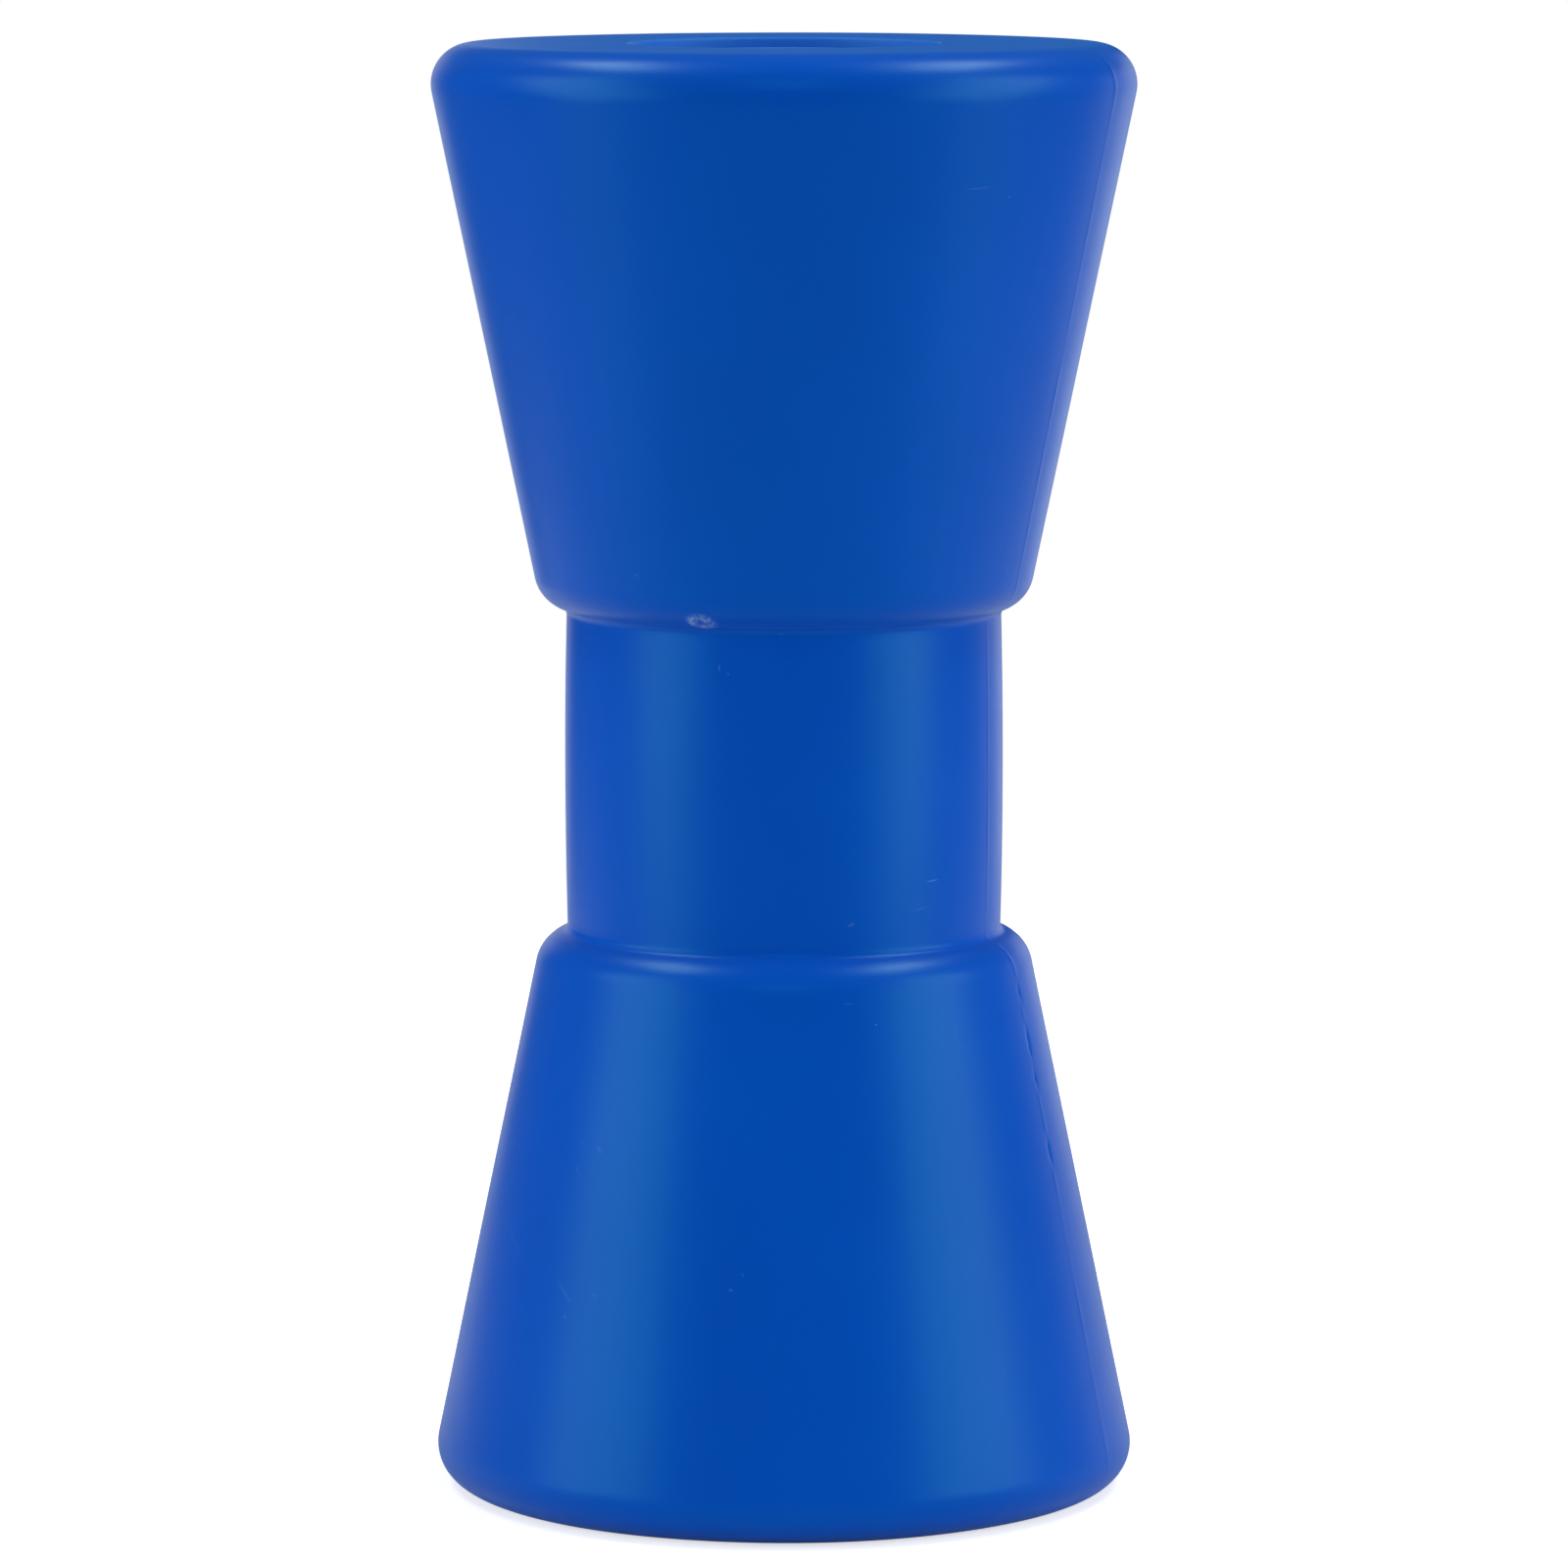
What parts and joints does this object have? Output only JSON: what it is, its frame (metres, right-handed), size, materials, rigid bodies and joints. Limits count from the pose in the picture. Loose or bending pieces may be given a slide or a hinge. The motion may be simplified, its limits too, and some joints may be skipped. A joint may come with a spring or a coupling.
{
  "type": "boat trailer roller",
  "caption": "Moulded plastic keel roller: tapered flanges with rounded rims and shoulders either side of a narrower barrel waist, with a straight spindle bore along its axis.",
  "frame": {"origin": "on the bore's axis, in the plane of the end face that the roller stands on", "axes": "+Z along the axis, from the end that it stands on to the other end; X and Y lie across it, and the roller is round about Z"},
  "size_m": [0.097, 0.097, 0.2],
  "materials": {
    "moulding": "satin moulded blue polyethylene"
  },
  "bodies": {
    "root": {"roller_body": "moulding"}
  },
  "joints": []
}
